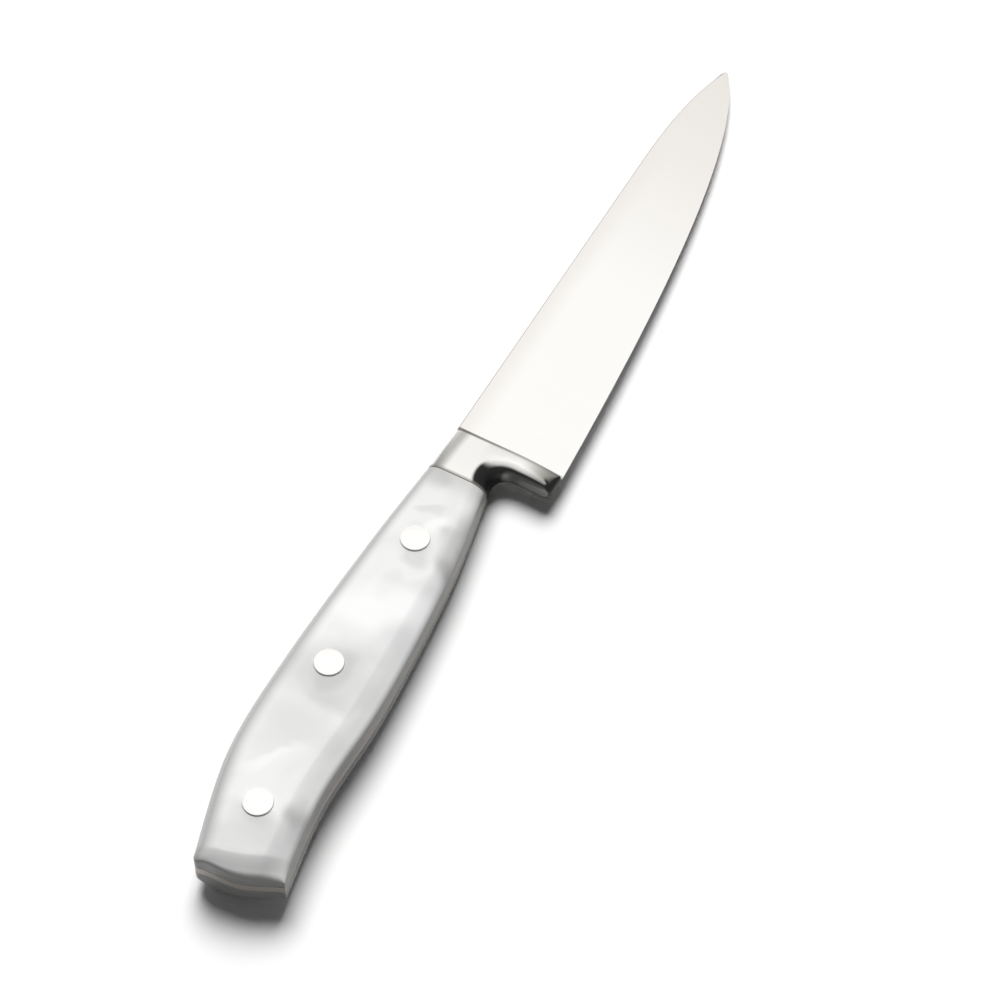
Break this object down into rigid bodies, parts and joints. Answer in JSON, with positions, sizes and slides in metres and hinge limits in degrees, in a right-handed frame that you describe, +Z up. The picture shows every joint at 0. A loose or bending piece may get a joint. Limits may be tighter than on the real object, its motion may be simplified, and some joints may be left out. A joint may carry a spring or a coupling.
{
  "type": "steak knife",
  "caption": "Plain-edged steak knife with a full bolster, a finger notch, a full tang, rounded pearl acrylic scales and two-part rivets.",
  "frame": {"origin": "bottom centre of the box round the knife, as it lies at rest on its left side", "axes": "+X along the knife towards the tip, +Y across the blade towards its back, +Z up from the table"},
  "size_m": [0.2356, 0.0276, 0.0142],
  "materials": {
    "polished_steel": "satin polish, brighter on the bolster",
    "rivet_steel": "bright polish",
    "pearl_acrylic": "glossy white mother-of-pearl swirl"
  },
  "bodies": {
    "root": {"blade": "polished_steel", "scale_right": "pearl_acrylic", "scale_left": "pearl_acrylic", "rivet_pin_front": "rivet_steel", "rivet_pin_middle": "rivet_steel", "rivet_pin_butt": "rivet_steel", "rivet_tube_front": "rivet_steel", "rivet_tube_middle": "rivet_steel", "rivet_tube_butt": "rivet_steel"}
  },
  "joints": []
}
